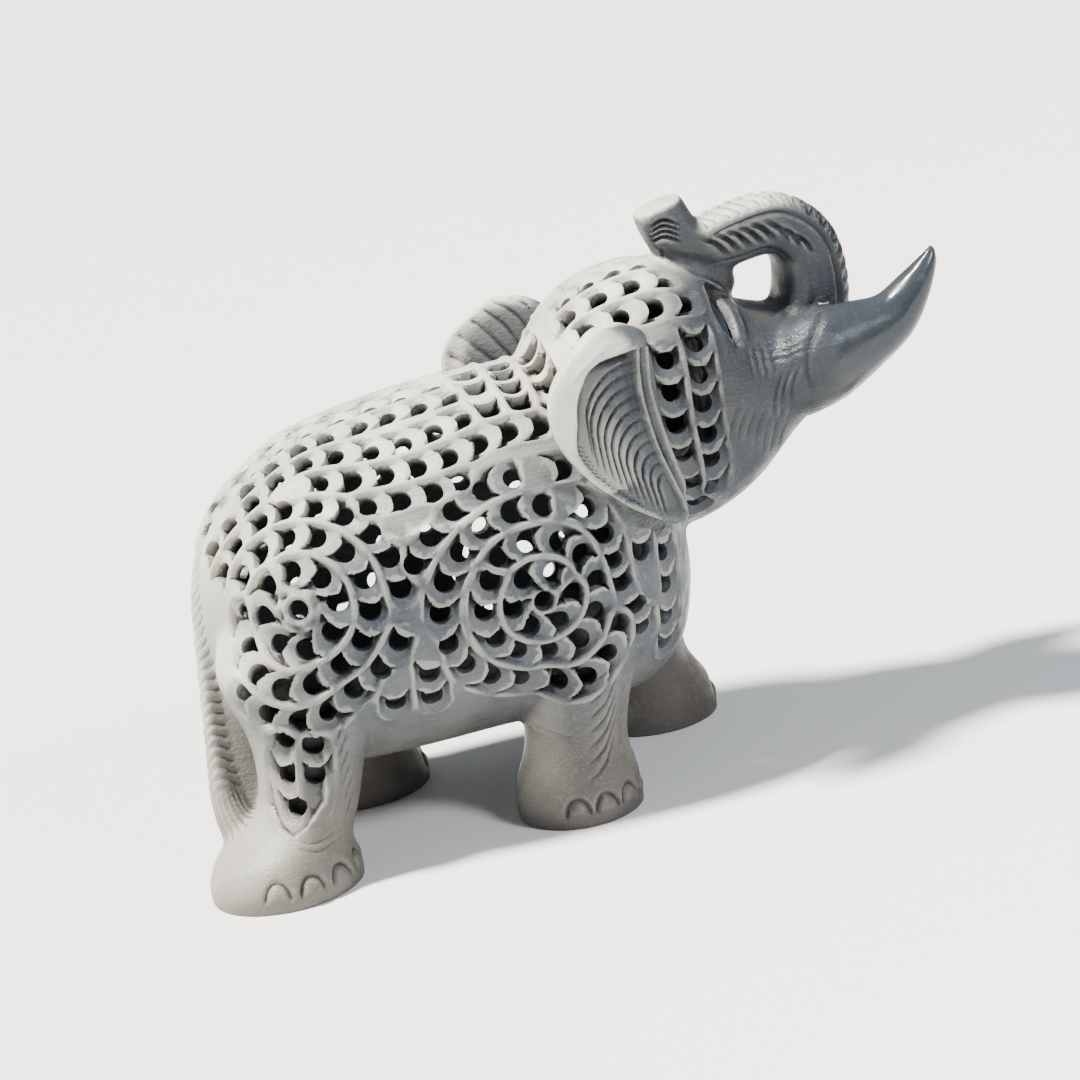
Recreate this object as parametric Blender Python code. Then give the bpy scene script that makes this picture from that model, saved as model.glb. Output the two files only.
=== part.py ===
# Soapstone elephant, carved of one block: hollow, drilled through in spiral rows, trunk raised.
# The nose points along +X, the left side is +Y, and the soles stand on Z = 0.

import bpy
import bmesh
from math import cos, hypot, pi, radians, sin
from mathutils import Matrix, Vector
from mathutils.bvhtree import BVHTree

# Driving sizes, in metres
FULL_HEIGHT = 0.160      # sole to trunk tip
WALL = 0.0045            # stone left between the hollow and the outside
DRILL = 0.0050           # across a drilled hole where it meets the hollow
SCOOP = 0.0076           # across its scooped mouth
EYE_DRILL = 0.0082       # across the hole in the middle of each spiral
ROW_PITCH = 0.0088       # from one row of holes to the next
HOLE_STEP = 0.0103       # from one hole to the next along a row
EAR_THICK = 0.0065       # ear blade
TAIL_THICK = 0.0060      # tail, and the web behind it

# How finely the form is cut
FORM_GRAIN = 0.0019      # voxel of the blended form
FORM_FACES = 2050        # triangles left on the outside form
HOLLOW_FACES = 360       # triangles left on the hollow
DRILL_SIDES = 6
DRILL_CLEAR = 0.0015     # the drill starts this far off the stone
DRILL_PAST = 0.0065      # and goes this far past the wall
HOLLOW_COARSER = 1.6     # times the grain, on the hollow
FORM_PASSES, HOLLOW_PASSES = 5, 3   # smoothing over the joins
RING_POINTS = 28         # points round a section
SPAN_STEPS = 5           # sections between two stations

# The form below is in shares of the height, 160 to the whole.
# A station is x, y, z, half its width across, and half its depth.
SHARE = FULL_HEIGHT / 160
SQUARE = {"barrel": 2.2, "head": 2.15, "trunk": 3.0, "ear": 2.6}   # 2 is a plain oval

AHEAD, UP = (1, 0, 0), (0, 0, 1)
BODY = [
    (-69, 0, 66, 6, 8), (-66, 0, 66, 20, 22), (-60, 0, 66, 31, 32), (-51, 0, 66, 40, 40),
    (-36, 0, 68.5, 45, 46.5), (-16, 0, 70.5, 46.5, 49), (6, 0, 72, 46.5, 50),
    (28, 0, 72.5, 45, 50.5), (45, 0, 72, 41, 49), (56, 0, 69, 35, 42), (64, 0, 66, 26, 31),
    (69.5, 0, 63, 12, 14),
]
HEAD = [
    (34, 0, 104, 26, 20), (42, 0, 107, 33, 27), (50, 0, 107, 35, 33), (60, 0, 106, 35, 37.5),
    (72, 0, 105.5, 34, 38.5), (84, 0, 104, 31, 33.5), (94, 0, 102.5, 28, 26), (105, 0, 105.5, 25, 18.5),
    (115, 0, 108, 21, 14), (121, 0, 109, 14, 8),
]
TRUNK = [
    (103, 0, 103, 19, 14), (112, 0, 112, 15, 11.5), (117.5, 0, 120, 13, 10.5),
    (119.5, 0, 130, 12, 10), (118, 0, 140, 11, 9.3), (110, 0, 146.5, 10, 8.7), (98, 0, 145.5, 9.5, 8.5),
    (89, 0, 143.5, 9, 8), (83, 0, 147, 8.5, 7.5), (80, 0, 153, 8, 7.5), (78.5, 0, 158.5, 7.5, 7),
]
TRUNK_BRIDGE = [(78, 0, 138, 8, 6), (86, 0, 137, 9, 9), (93, 0, 135, 8, 7), (97, 0, 133, 4, 3)]
RIGHT_TUSK = [
    (104, -15, 104, 12, 12), (114, -20, 110, 13, 13.5), (124, -22, 113.5, 10.5, 11),
    (134, -23.5, 117.5, 8, 7.8), (141.5, -24.5, 125, 5.4, 5.4), (147, -25, 132, 2.8, 2.8),
    (148.8, -25, 136, 1, 1),
]
LEFT_TUSK = [
    (104, 15, 102, 12, 12), (115, 20, 104.5, 12, 11.5), (126, 22, 105.5, 9.5, 9),
    (133, 23, 106.5, 6.8, 6.6), (139, 23.5, 108.5, 4.6, 4.6), (143.5, 24, 112, 2.2, 2.2),
    (144.5, 24, 113.5, 1, 1),
]
EAR = [
    (63, 36.5, 77, 0.6, 3), (58, 39.5, 84, 0.8, 8.5), (53, 41, 92, 0.95, 12.5),
    (49, 41.5, 100, 1, 15.5), (46.5, 41.5, 108, 1.1, 17.5), (45.5, 41.5, 116, 1.1, 18),
    (46, 41.5, 122, 1.1, 17.5), (48, 41, 128, 1.1, 15), (50, 40, 133, 1, 10), (50, 40, 136, 0.8, 5),
]
EAR_TURN = radians(24)   # the back edge stands out from the neck
LEFT_EAR_BACK = 11       # the left ear is set further back and lower than the right
LEFT_EAR_DOWN = 3
TAIL = [
    (-53, 0, 101, 1, 1), (-61.5, -1, 92, 1, 1), (-67, -3, 79, 1, 1), (-70, -7, 60, 0.95, 0.95),
    (-72.5, -13, 40, 0.95, 0.95), (-73.5, -19, 24, 1.3, 1.3), (-71, -23, 14, 1.8, 1.8),
    (-68, -26, 6, 1.6, 1.6),
]
TAIL_WEB = [(-62, -2, 88, 1, 3), (-63, -5, 72, 1, 5), (-64, -9, 52, 1, 7), (-66, -15, 30, 1, 8),
            (-67, -21, 10, 1, 7), (-67, -23, 3, 1, 6)]
LEGS = {
    "right_hind": [(-44, -14, 86, 10, 12), (-49, -24, 62, 20, 20), (-46.5, -28, 44, 18, 18.5),
                   (-48.7, -30, 33, 16.5, 15.3), (-52.5, -31.5, 20, 16, 14.5), (-60.5, -33.5, 11.5, 18.5, 18.8),
                   (-62, -34, 4, 21, 21.5), (-62, -34, -3, 20.5, 21)],
    "right_fore": [(38, -12, 86, 10, 12), (34, -22, 60, 20, 21), (28.6, -26.5, 36, 16.5, 15.8),
                   (25.2, -27.5, 20, 15.5, 14.6), (23.8, -28, 11, 17, 17),
                   (23.5, -28, 4, 18.3, 17.9), (23.5, -28, -3, 18, 17.5)],
    "left_hind": [(-40, 12, 86, 10, 12), (-38, 22, 60, 20, 20), (-33, 28, 36, 16.5, 16),
                  (-31, 28.5, 20, 15.5, 15), (-30.5, 29, 11, 18, 18),
                  (-30, 29, 4, 20, 20), (-30, 29, -3, 19.5, 19.5)],
    "left_fore": [(40, 12, 82, 10, 12), (47, 22, 58, 19, 19), (55, 28, 36, 16.5, 16),
                  (57.8, 30, 20, 15.5, 15.3), (60.2, 31, 11, 17.5, 17.8),
                  (60.6, 31, 4, 18.6, 19.2), (60.6, 31, -3, 18.2, 18.8)],
}

# Each spiral winds about its eye: x, y and z of the eye on the right flank, the turn that its
# rows take, its first angle and how far out its rows reach.
WALK = 45 * SHARE        # the flank is close to a ball of this radius
BARREL_Z = 72 * SHARE    # height of the barrel's middle
RUMP_X = -26 * SHARE     # the rump rounds about this place
SPIRALS = {
    "rump": {"eye": (-45.2, -41.4, 78.1), "turn": -1, "start": 0.4, "reach": 0.0235},
    "shoulder": {"eye": (19.8, -45.4, 66.7), "turn": 1, "start": 2.6, "reach": 0.0275},
}
BACK_ROWS = 3            # rows of holes along each side of the back
BACK_FIRST = radians(14)  # first row, off the top line
BACK_FROM, BACK_TO = -46 * SHARE, 44 * SHARE
BROW_Z = 106             # height of the head's middle
DOME_HOLES = [(50.5, 33), (59, 31), (67.6, 26), (74.4, 37), (68.4, 47)]   # x, degrees off the top
CHEEK_HOLES = 5
CHEEK_ROWS = [((67.5, 120.5), (69.8, 84)), ((76.9, 122.5), (74.6, 86.5))]  # x, z of first and last
THIGH_HOLES = [(-3.5, 43), (4.3, 41), (-4, 34), (4.8, 32.5), (-1.5, 26)]   # x off the leg, and z
THIGH_X = {-1: -52, 1: -34}   # the right hind leg is set back, the left one forward
THIGH_Y = 30                  # the middle of a thigh, off the middle of the elephant


def clear_scene():
    for thing in list(bpy.data.objects):
        bpy.data.objects.remove(thing, do_unlink=True)


def stone():
    material = bpy.data.materials.new("grey_soapstone")
    material.use_nodes = True
    shader = material.node_tree.nodes["Principled BSDF"]
    shader.inputs["Base Color"].default_value = (0.33, 0.34, 0.32, 1)
    shader.inputs["Roughness"].default_value = 0.5
    shader.inputs["Metallic"].default_value = 0.0
    return material


def between(stations):
    """Stations on a smooth curve through the given ones."""
    smooth = []
    last = len(stations) - 1
    for i in range(last):
        before, a, b, after = (stations[max(0, min(last, j))] for j in (i - 1, i, i + 1, i + 2))
        for step in range(SPAN_STEPS):
            t = step / SPAN_STEPS
            smooth.append([0.5 * (2 * q + (r - p) * t + (2 * p - 5 * q + 4 * r - s) * t * t
                                  + (3 * q - p - 3 * r + s) * t ** 3)
                           for p, q, r, s in zip(before, a, b, after)])
    smooth.append(list(stations[-1]))
    return smooth


def loft(form, stations, along=None, squareness=2.0, turn=0.0, across=None, depth=None, grow=0.0):
    """Skin the stations with rings. Along fixes the way the rings face; across and depth are
    real half sizes that replace the station's own, and grow moves the skin out."""
    rings = []
    path = between(stations)
    for i, (x, y, z, half_across, half_depth) in enumerate(path):
        if along is None:
            ahead = Vector(path[min(i + 1, len(path) - 1)][:3]) - Vector(path[max(i - 1, 0)][:3])
        else:
            ahead = Vector(along)
        ahead.normalize()
        side = Vector((0, 1, 0))
        side = (side - ahead * side.dot(ahead)).normalized()
        front = side.cross(ahead)
        spin = Matrix.Rotation(turn, 3, ahead)
        side, front = spin @ side, spin @ front
        wide = (across * half_across if across else half_across * SHARE) + grow
        deep = (depth * half_depth if depth else half_depth * SHARE) + grow
        centre = Vector((x, y, z)) * SHARE
        ring = []
        for k in range(RING_POINTS):
            angle = 2 * pi * k / RING_POINTS
            c, s = cos(angle), sin(angle)
            ring.append(form.verts.new(
                centre + side * (wide * abs(c) ** (2 / squareness) * (1 if c > 0 else -1))
                + front * (deep * abs(s) ** (2 / squareness) * (1 if s > 0 else -1))))
        rings.append(ring)
    faces = [form.faces.new(rings[0]), form.faces.new(rings[-1])]
    for low, high in zip(rings, rings[1:]):
        for k in range(RING_POINTS):
            m = (k + 1) % RING_POINTS
            faces.append(form.faces.new((low[k], low[m], high[m], high[k])))
    bmesh.ops.recalc_face_normals(form, faces=faces)


def right_ear():
    return [(x, -y, *rest) for x, y, *rest in EAR]


def left_ear():
    return [(x - LEFT_EAR_BACK, y, z - LEFT_EAR_DOWN, *rest) for x, y, z, *rest in EAR]


def outer_form():
    """Every limb as its own closed skin, still overlapping."""
    form = bmesh.new()
    loft(form, BODY, along=AHEAD, squareness=SQUARE["barrel"])
    loft(form, HEAD, along=AHEAD, squareness=SQUARE["head"])
    loft(form, TRUNK, squareness=SQUARE["trunk"])
    loft(form, TRUNK_BRIDGE, along=AHEAD)
    loft(form, RIGHT_TUSK)
    loft(form, LEFT_TUSK)
    for stations, turn in ((right_ear(), EAR_TURN), (left_ear(), -EAR_TURN)):
        loft(form, stations, along=UP, turn=turn, across=EAR_THICK / 2, squareness=SQUARE["ear"])
    loft(form, TAIL, across=TAIL_THICK / 2, depth=TAIL_THICK / 2)
    loft(form, TAIL_WEB, along=UP, across=TAIL_THICK / 2)
    for stations in LEGS.values():
        loft(form, stations, along=UP)
    return form


def hollow_form():
    """The hollow of the barrel and the head, a wall's thickness inside the form."""
    form = bmesh.new()
    loft(form, BODY[2:-2], along=AHEAD, squareness=SQUARE["barrel"], grow=-WALL)
    loft(form, HEAD[2:6], along=AHEAD, squareness=SQUARE["head"], grow=-WALL)
    return form


def make_object(name, form):
    mesh = bpy.data.meshes.new(name)
    form.to_mesh(mesh)
    form.free()
    thing = bpy.data.objects.new(name, mesh)
    bpy.context.collection.objects.link(thing)
    return thing


def settle(thing):
    """Apply the modifiers, so that the next tool reads the shape that they make."""
    seen = thing.evaluated_get(bpy.context.evaluated_depsgraph_get())
    mesh = bpy.data.meshes.new_from_object(seen)
    thing.modifiers.clear()
    thing.data = mesh


def blend(thing, grain, passes, faces):
    """Fuse overlapping skins to one, soften the joins and thin the faces out."""
    remesh = thing.modifiers.new("fuse", "REMESH")
    remesh.mode = "VOXEL"
    remesh.voxel_size = grain
    soften = thing.modifiers.new("soften", "SMOOTH")
    soften.factor = 0.5
    soften.iterations = passes
    settle(thing)
    thin = thing.modifiers.new("thin", "DECIMATE")
    thin.ratio = faces / (2 * len(thing.data.polygons))
    thin.use_collapse_triangulate = True
    settle(thing)


def cut(thing, tool):
    tool.hide_render = True
    tool.display_type = "WIRE"
    boolean = thing.modifiers.new("cut", "BOOLEAN")
    boolean.operation = "DIFFERENCE"
    boolean.object = tool
    boolean.use_self = True
    settle(thing)
    bpy.data.objects.remove(tool, do_unlink=True)


def walked(eye, u, v):
    """Middle of the ball under the eye, and the way out of it after a walk u along and v up."""
    eye = Vector(eye) * SHARE
    middle = Vector((max(eye.x, RUMP_X), 0, BARREL_Z))
    out = (eye - middle).normalized()
    right = Vector((0, 0, 1)).cross(out).normalized()
    up = out.cross(right)
    far = hypot(u, v)
    if far == 0:
        return middle, out
    way = (right * u + up * v) / far
    return middle, out * cos(far / WALK) + way * sin(far / WALK)


def spiral_spots(spec):
    """Angle and radius of each hole of a spiral, one hole step apart along the row."""
    angle, radius = 0.0, ROW_PITCH
    spots = []
    while radius < spec["reach"]:
        turned = spec["start"] + spec["turn"] * angle
        spots.append((radius * cos(turned), radius * sin(turned)))
        angle += HOLE_STEP / radius
        radius = ROW_PITCH * (1 + angle / (2 * pi))
    return spots


def drill(tools, surface, origin, way, across=DRILL, mouth=SCOOP):
    """A drill's bit, set square to the way it goes in and through the wall."""
    hit, _, _, _ = surface.ray_cast(origin, way)
    if hit is None:
        return
    spin = way.to_track_quat("Z", "Y").to_matrix().to_4x4()
    deep = WALL + DRILL_PAST
    place = Matrix.Translation(hit + way * ((DRILL_CLEAR - deep) / 2)) @ spin
    bmesh.ops.create_cone(tools, cap_ends=True, segments=DRILL_SIDES, radius1=across / 2,
                          radius2=mouth / 2, depth=DRILL_CLEAR + deep, matrix=place)


def add_spirals(tools, surface, side):
    for spec in SPIRALS.values():
        x, y, z = spec["eye"]
        eye = (x, -y * side, z)
        for u, v in spiral_spots(spec):
            origin, way = walked(eye, u * -side, v)
            drill(tools, surface, origin, way)
        origin, way = walked(eye, 0, 0)
        drill(tools, surface, origin, way, EYE_DRILL, EYE_DRILL)


def add_back_rows(tools, surface, side):
    count = int((BACK_TO - BACK_FROM) / HOLE_STEP)
    for row in range(BACK_ROWS):
        lean = BACK_FIRST + row * ROW_PITCH / WALK
        way = Vector((0, side * sin(lean), cos(lean)))
        for i in range(count):
            x = BACK_FROM + (i + 0.5 * (row % 2)) * HOLE_STEP
            drill(tools, surface, Vector((x, 0, BARREL_Z)), way)


def add_head_holes(tools, surface, side):
    for x, lean in DOME_HOLES:
        way = Vector((0, side * sin(radians(lean)), cos(radians(lean))))
        drill(tools, surface, Vector((x, 0, BROW_Z)) * SHARE, way)
    for (x0, z0), (x1, z1) in CHEEK_ROWS:
        for i in range(CHEEK_HOLES):
            t = i / (CHEEK_HOLES - 1)
            spot = Vector((x0 + (x1 - x0) * t, 0, z0 + (z1 - z0) * t)) * SHARE
            drill(tools, surface, spot, Vector((0, side, 0)))


def add_thigh_holes(tools, surface, side):
    for x, z in THIGH_HOLES:
        spot = Vector((THIGH_X[side] + x, side * THIGH_Y, z)) * SHARE
        drill(tools, surface, spot, Vector((0, side, 0)))


def elephant():
    body = make_object("stone_elephant", outer_form())
    blend(body, FORM_GRAIN, FORM_PASSES, FORM_FACES)
    surface = BVHTree.FromPolygons([v.co for v in body.data.vertices],
                                   [p.vertices[:] for p in body.data.polygons])
    hollow = make_object("hollow", hollow_form())
    blend(hollow, FORM_GRAIN * HOLLOW_COARSER, HOLLOW_PASSES, HOLLOW_FACES)
    cut(body, hollow)
    for side in (-1, 1):
        tools = bmesh.new()
        add_spirals(tools, surface, side)
        add_back_rows(tools, surface, side)
        add_head_holes(tools, surface, side)
        add_thigh_holes(tools, surface, side)
        cut(body, make_object("drills", tools))
    ground = bmesh.new()
    bmesh.ops.create_cube(ground, size=1, matrix=Matrix.Translation((0, 0, -0.5)))
    cut(body, make_object("ground", ground))
    return body


def centre_on_base(thing):
    """Put the middle of the footprint's box on the Z axis."""
    xs = [v.co.x for v in thing.data.vertices]
    ys = [v.co.y for v in thing.data.vertices]
    shift = Vector((-(min(xs) + max(xs)) / 2, -(min(ys) + max(ys)) / 2, 0))
    thing.data.transform(Matrix.Translation(shift))
    print("moved to the middle by", [round(c * 1000, 3) for c in shift])


clear_scene()
carving = elephant()
centre_on_base(carving)
carving.data.materials.clear()
carving.data.materials.append(stone())
carving.data.shade_smooth()
carving.data.set_sharp_from_angle(angle=radians(35))
print("triangles", sum(len(p.vertices) - 2 for p in carving.data.polygons))
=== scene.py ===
import random
from math import cos, hypot, pi, radians, sin

import bmesh
import bpy
import numpy as np
from mathutils import Matrix, Vector
from mathutils.bvhtree import BVHTree
from mathutils.kdtree import KDTree


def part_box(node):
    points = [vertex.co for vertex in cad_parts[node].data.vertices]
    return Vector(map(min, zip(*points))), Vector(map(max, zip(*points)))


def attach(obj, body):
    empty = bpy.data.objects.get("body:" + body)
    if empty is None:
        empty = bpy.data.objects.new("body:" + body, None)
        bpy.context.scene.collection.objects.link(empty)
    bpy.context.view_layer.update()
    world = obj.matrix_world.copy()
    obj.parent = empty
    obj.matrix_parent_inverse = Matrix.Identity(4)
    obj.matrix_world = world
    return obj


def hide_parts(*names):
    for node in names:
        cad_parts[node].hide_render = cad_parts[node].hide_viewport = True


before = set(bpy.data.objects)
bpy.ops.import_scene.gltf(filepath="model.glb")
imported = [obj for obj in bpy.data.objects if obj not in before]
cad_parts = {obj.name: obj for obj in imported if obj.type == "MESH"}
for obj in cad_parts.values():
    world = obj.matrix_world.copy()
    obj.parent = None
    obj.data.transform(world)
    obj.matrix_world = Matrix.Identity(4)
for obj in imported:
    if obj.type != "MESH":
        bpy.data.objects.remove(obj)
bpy.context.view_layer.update()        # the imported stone_elephant, on its body root
print("frame loaded", sorted(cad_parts))

mm = 0.001

# How finely the stone is made
grain = {
    "voxel": 1.0,           # of the joined form, halved again by one subdivision
    "softening": 16,        # smoothing passes over the joins
    "ringPoints": 48,
    "spanSteps": 6,
    "outerFaces": 158000,   # triangles kept before the holes are cut
    "finalFaces": 192000,
    "hollowVoxel": 2.4,
    "hollowSoftening": 4,
    "softenFactor": 0.5,
    "curveSteps": 14,       # of a row between two given places
    "strokeSteps": 5,
    "strokeReach": 3,       # points further off a stroke aren't looked at
    "strokeEnds": (0.03, 0.97),
    "rowPasses": 8,         # smoothing passes along a row
    "bulgePasses": 4,
    "chunk": 2500,          # points measured at one go
    "inner": 1.2,           # further than this off the carved face is the inside
    "innerShadeDepth": 3.0,      # which gets the painted shade of the deepest cut
    "boxReach": 0.012,      # metres over which a part past the box is drawn in
    "boxMargin": 0.0001,
    "ground": 1000,         # block that cuts the soles flat
    "sharp": 50,            # degrees
}

# A station is x, y, z of its middle, then half its width across and half its depth.
body = {
    "barrel": [
        (-69, 0, 66, 6, 8), (-66, 0, 66, 20, 22), (-60, 0, 66, 31, 32), (-51, 0, 66, 40, 40),
        (-36, 0, 68.5, 45, 46.5), (-16, 0, 70.5, 46.5, 49), (6, 0, 72, 46.5, 50),
        (28, 0, 72.5, 45, 50.5), (45, 0, 72, 41, 49), (56, 0, 69, 35, 42), (64, 0, 66, 26, 31),
        (69.5, 0, 63, 12, 14),
    ],
    "barrelSquareness": 2.2,
    "barrelMiddle": 72,     # height of the barrel's axis
    "wall": 4.5,            # stone left over the hollow
    "seam": 0.2,            # points nearer the middle than this belong to neither side
}

head = {
    "skull": [
        (34, 0, 104, 26, 20), (42, 0, 107, 33, 27), (50, 0, 107, 35, 33), (60, 0, 106, 35, 37.5),
        (72, 0, 105.5, 34, 38.5), (84, 0, 104, 31, 33.5), (94, 0, 102.5, 28, 26), (105, 0, 105.5, 25, 18.5),
        (115, 0, 108, 21, 14), (121, 0, 109, 14, 8),
    ],
    "squareness": 2.15,
    "middle": 106,
    "eye": (87.9, 127.6),   # x and z on the side of the face
    "eyeSlant": 11.7,       # degrees off upright
    "eyeLong": 15.4,
    "eyeHigh": 5.4,
    "eyeDeep": 1.8,
    "eyeReach": 14,
    "browRise": 1.1,
    "ballRise": 0.6,
    "slitDeep": 1.4,
    "cornerDeep": 1.8,
    "underRise": 0.5,
}

trunk = {
    "stations": [
        (103, 0, 103, 19, 14), (112, 0, 112, 15, 11.5), (117.5, 0, 120, 13, 10.5),
        (119.5, 0, 130, 12, 10), (118, 0, 140, 11, 9.3), (110, 0, 146.5, 10, 8.7),
        (98, 0, 145.5, 9.5, 8.5), (89, 0, 143.5, 9, 8), (83, 0, 147, 8.5, 7.5), (80, 0, 153, 8, 7.5),
        (78.5, 0, 158.5, 7.5, 7),
    ],
    "bridge": [(78, 0, 138, 8, 6), (86, 0, 137, 9, 9), (93, 0, 135, 8, 7), (97, 0, 133, 4, 3)],
    "squareness": 3.0,
    "ringStep": 3.0,        # from one chevron of the outer face to the next
    "ringSlant": 0.42,
    "ringDepth": 0.75,
    "edgeGroove": 1.1,      # dark line between the outer face and the sides
    "fine": 0.2,            # hair lines up the sides
    "carvedFrom": 12,       # along it, and no further out than a share of its half sizes
    "near": 1.35,
    "pastTip": 1.5,
    "ringsFrom": (22, 34),  # along the trunk, where the chevrons come in
    "ringsTo": (22, 18),    # and where they end, back from the tip
    "startX": 70,           # no part of it lies behind or below these
    "startZ": 95,
}

tusks = {
    "right": [
        (104, -15, 104, 12, 12), (114, -20, 110, 13, 13.5), (124, -22, 113.5, 10.5, 11),
        (134, -23.5, 117.5, 8, 7.8), (141.5, -24.5, 125, 5.4, 5.4), (147, -25, 132, 2.8, 2.8),
        (148.8, -25, 136, 1, 1),
    ],
    "left": [
        (104, 15, 102, 12, 12), (115, 20, 104.5, 12, 11.5), (126, 22, 105.5, 9.5, 9),
        (133, 23, 106.5, 6.8, 6.6), (139, 23.5, 108.5, 4.6, 4.6), (143.5, 24, 112, 2.2, 2.2),
        (144.5, 24, 113.5, 1, 1),
    ],
    "polished": (112, 117),     # x where the lip gives way to the polished tusk
    "polishedOut": 12.5,
    "polishedBelow": 141,
}

ears = {
    "stations": [           # the last two are shares of the blade's half thickness, and half its width
        (63, 36.5, 77, 0.6, 3), (58, 39.5, 84, 0.8, 8.5), (53, 41, 92, 0.95, 12.5),
        (49, 41.5, 100, 1, 15.5), (46.5, 41.5, 108, 1.1, 17.5), (45.5, 41.5, 116, 1.1, 18),
        (46, 41.5, 122, 1.1, 17.5), (48, 41, 128, 1.1, 15), (50, 40, 133, 1, 10), (50, 40, 136, 0.8, 5),
    ],
    "thick": 6.5,
    "turn": 24,             # degrees that the back edge stands out
    "leftBack": 11,
    "leftDown": 3,
    "squareness": 2.6,
    "recess": 2.6,
    "rimHeights": [8, 20, 28, 36, 46],      # over the foot, and how wide the rim is there
    "rimWidths": [0.8, 1.5, 3.2, 7.2, 9.5],
    # the ears' rims, which get painted sunlight in the tone of the pale tops
    "rimOut": (41.5, 43.5),     # off the elephant's middle, where only the ears' rims reach
    "rimAbove": 92,
    "rimSunlit": 0.9,
    "fold": 51,             # height of the folded top's edge over the ear's foot
    "rib": 0.62,            # where the midrib runs, as a share of half the blade
    "veins": 11,
    "fan": 17,              # grooves that spread over the back of the blade
    "veinStep": 3.2,
    "veinDepth": 0.9,
    "veinHalf": 0.38,
    "veinDown": 3.5,        # of the first vein, from the fold
    "veinReach": 18,
    "foldDrop": 5.5,        # how far the fold comes down towards the rear edge
    "shallower": 0.35,      # the dish is this much less deep at its foot
    "hatchStep": 1.6,
    "offBlade": (0.6, 7),   # how far off the blade's middle its two faces lie
    "pastEdge": 1.08,
    "overTop": 3,
    "backUp": 8,            # where the back is carved: height, and shares of half the blade
    "backRear": -0.9,
    "backRoot": 0.7,
    "crescent": 1.1,        # the shadow under the folded top
    "hatch": 0.4,
    "lobe": 0.9,
    "fanDepth": 0.7,
    "fanHeight": 24,
    "backRim": 0.5,
}

tail = {
    "stations": [
        (-53, 0, 101, 1, 1), (-61.5, -1, 92, 1, 1), (-67, -3, 79, 1, 1), (-70, -7, 60, 0.95, 0.95),
        (-72.5, -13, 40, 0.95, 0.95), (-73.5, -19, 24, 1.3, 1.3), (-71, -23, 14, 1.8, 1.8),
        (-68, -26, 6, 1.6, 1.6),
    ],
    "web": [(-62, -2, 88, 1, 3), (-63, -5, 72, 1, 5), (-64, -9, 52, 1, 7), (-66, -15, 30, 1, 8),
            (-67, -21, 10, 1, 7), (-67, -23, 3, 1, 6)],
    "thick": 6.0,
    "carvedFrom": 6,
    "near": 1.5,
    "grooveStep": 3.1,
    "grooveSlant": 1.4,
    "grooveDepth": 0.4,
    "hairDepth": 0.35,
    "swell": 0.2,
    "endX": -48,            # no part of it lies ahead of this
    "tuftTop": 26,          # height where the grooved rope ends and the tuft begins
}

legs = {
    "rightHind": [(-44, -14, 86, 10, 12), (-49, -24, 62, 20, 20), (-46.5, -28, 44, 18, 18.5),
                  (-48.7, -30, 33, 16.5, 15.3), (-52.5, -31.5, 20, 16, 14.5),
                  (-60.5, -33.5, 11.5, 18.5, 18.8), (-62, -34, 4, 21, 21.5), (-62, -34, -3, 20.5, 21)],
    "rightFore": [(38, -12, 86, 10, 12), (34, -22, 60, 20, 21), (28.6, -26.5, 36, 16.5, 15.8),
                  (25.2, -27.5, 20, 15.5, 14.6), (23.8, -28, 11, 17, 17),
                  (23.5, -28, 4, 18.3, 17.9), (23.5, -28, -3, 18, 17.5)],
    "leftHind": [(-40, 12, 86, 10, 12), (-38, 22, 60, 20, 20), (-33, 28, 36, 16.5, 16),
                 (-31, 28.5, 20, 15.5, 15), (-30.5, 29, 11, 18, 18),
                 (-30, 29, 4, 20, 20), (-30, 29, -3, 19.5, 19.5)],
    "leftFore": [(40, 12, 82, 10, 12), (47, 22, 58, 19, 19), (55, 28, 36, 16.5, 16),
                 (57.8, 30, 20, 15.5, 15.3), (60.2, 31, 11, 17.5, 17.8),
                 (60.6, 31, 4, 18.6, 19.2), (60.6, 31, -3, 18.2, 18.8)],
}


def curve(places, steps=grain["curveSteps"]):
    # a smooth line through the places, which may have any number of values each
    smooth = []
    last = len(places) - 1
    for i in range(last):
        before, a, b, after = (places[max(0, min(last, j))] for j in (i - 1, i, i + 1, i + 2))
        for step in range(steps):
            t = step / steps
            smooth.append([0.5 * (2 * q + (r - p) * t + (2 * p - 5 * q + 4 * r - s) * t * t
                                  + (3 * q - p - 3 * r + s) * t ** 3)
                           for p, q, r, s in zip(before, a, b, after)])
    smooth.append(list(places[-1]))
    return smooth


def smoothPath(stations):
    return curve(stations, grain["spanSteps"])


def stationFrame(path, i, along=None, turn=0.0):
    # the way ahead, the side and the front at one place of a path
    if along is None:
        ahead = Vector(path[min(i + 1, len(path) - 1)][:3]) - Vector(path[max(i - 1, 0)][:3])
    else:
        ahead = Vector(along)
    ahead.normalize()
    side = Vector((0, 1, 0))
    side = (side - ahead * side.dot(ahead)).normalized()
    front = side.cross(ahead)
    spin = Matrix.Rotation(turn, 3, ahead)
    return ahead, spin @ side, spin @ front


def squared(value, squareness):
    return abs(value) ** (2 / squareness) * (1 if value > 0 else -1)


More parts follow.
